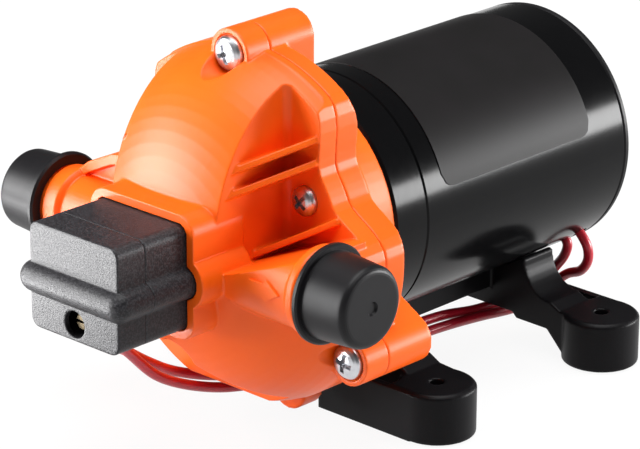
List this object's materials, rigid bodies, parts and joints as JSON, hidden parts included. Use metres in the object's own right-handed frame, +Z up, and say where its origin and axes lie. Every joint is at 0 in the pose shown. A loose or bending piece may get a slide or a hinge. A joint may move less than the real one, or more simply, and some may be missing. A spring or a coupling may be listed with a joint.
{
  "type": "caravan water pump",
  "caption": "Diaphragm water pump with an orange lobed head, capped side ports, a black pressure switch box and a round motor on a footed bracket.",
  "frame": {"origin": "centre of the four foot holes, on the plane that the feet stand on", "axes": "+X to the outlet side, +Y back along the motor, +Z up from the mounting plane"},
  "size_m": [0.1338, 0.1922, 0.1165],
  "materials": {
    "orange_plastic": "satin moulded",
    "black_plastic": "fine grain",
    "black_paint": "gloss",
    "label_film": "satin",
    "bright_steel": "bright",
    "red_pvc": "smooth",
    "rubber": "matt",
    "pale_plastic": "satin",
    "red_plastic": "smooth",
    "board": "matt",
    "ferrite": "matt",
    "core_steel": "plain",
    "copper": "enamelled copper",
    "carbon": "matt",
    "brass": "plain"
  },
  "bodies": {
    "body": {"front_housing": "orange_plastic", "rear_housing": "orange_plastic", "housing_screws": "bright_steel", "motor_screws": "bright_steel", "switch_body": "black_plastic", "switch_cover": "black_plastic", "switch_screws": "bright_steel", "micro_switch": "black_plastic", "lever_pin": "bright_steel", "switch_diaphragm": "rubber", "valve_plate": "pale_plastic", "valve_seal": "rubber", "inlet_valves": "rubber", "outlet_valve": "rubber", "pump_diaphragm": "rubber", "motor_flange": "black_paint", "motor_can": "black_paint", "end_cap": "black_plastic", "motor_label": "label_film", "magnets": "ferrite", "front_bearing_outer": "bright_steel", "front_bearing_balls": "bright_steel", "rear_bush": "brass", "brush_plate": "board", "brushes": "carbon", "brush_springs": "bright_steel", "lead_grommets": "rubber", "bracket": "black_plastic", "bracket_screws": "bright_steel", "red_lead_low": "red_pvc", "red_lead_high": "red_pvc", "pressure_spring": "bright_steel"},
    "rotor": {"motor_shaft": "bright_steel", "armature_core": "core_steel", "armature_windings": "copper", "commutator": "copper", "front_bearing_inner": "bright_steel", "wobble_hub": "core_steel", "cam_bearing_inner": "bright_steel"},
    "wobble": {"wobble_plate": "black_plastic", "cam_bearing_outer": "bright_steel", "cam_bearing_balls": "bright_steel", "pistons": "pale_plastic", "piston_screws": "bright_steel"},
    "inlet_cap": {"inlet_cap": "black_plastic"},
    "outlet_cap": {"outlet_cap": "black_plastic"},
    "lever": {"switch_lever": "bright_steel"},
    "plunger": {"switch_plunger": "pale_plastic"},
    "button": {"switch_button": "red_plastic"},
    "adjuster": {"adjusting_screw": "bright_steel"},
    "seat": {"spring_seat": "brass"}
  },
  "joints": [
    {"name": "rotor_spin", "type": "hinge", "parent": "body", "child": "rotor", "pos_m": [0, 0, 0.0577], "axis": [0, -1, 0], "continuous": true},
    {"name": "wobble_nod", "type": "hinge", "parent": "rotor", "child": "wobble", "pos_m": [0, -0.0485, 0.0577], "axis": [0, -0.9976, -0.0698], "continuous": true, "deforming": ["pump_diaphragm"]},
    {"name": "inlet_cap_pull", "type": "slide", "parent": "body", "child": "inlet_cap", "axis": [-1, 0, 0], "range_m": [0, 0.017]},
    {"name": "outlet_cap_pull", "type": "slide", "parent": "body", "child": "outlet_cap", "axis": [1, 0, 0], "range_m": [0, 0.017]},
    {"name": "switch_lever_tip", "type": "hinge", "parent": "body", "child": "lever", "pos_m": [0, -0.1044, 0.0687], "axis": [-1, 0, 0], "range_deg": [0, 4], "stiffness_Nm_per_rad": 0.05, "springref_deg": -20.05, "deforming": ["pressure_spring"]},
    {"name": "switch_plunger_push", "type": "slide", "parent": "body", "child": "plunger", "axis": [0, -1, 0], "range_m": [0, 0.00076]},
    {"name": "switch_button_push", "type": "slide", "parent": "body", "child": "button", "axis": [0, -1, 0], "range_m": [0, 0.0009]},
    {"name": "adjusting_screw_turn", "type": "hinge", "parent": "body", "child": "adjuster", "pos_m": [0, -0.121, 0.0473], "axis": [0, -1, 0], "range_deg": [-720, 720], "deforming": ["pressure_spring"]},
    {"name": "spring_seat_travel", "type": "slide", "parent": "body", "child": "seat", "axis": [0, -1, 0], "range_m": [-0.00099, 0.00099]}
  ],
  "couplings": [
    {"joint": "wobble_nod", "follows": "rotor_spin", "ratio": -1},
    {"joint": "switch_lever_tip", "follows": "switch_plunger_push", "rad_per_m": 90.909},
    {"joint": "switch_button_push", "follows": "switch_plunger_push", "ratio": 1.1364},
    {"joint": "adjusting_screw_turn", "follows": "spring_seat_travel", "rad_per_m": -12566}
  ]
}
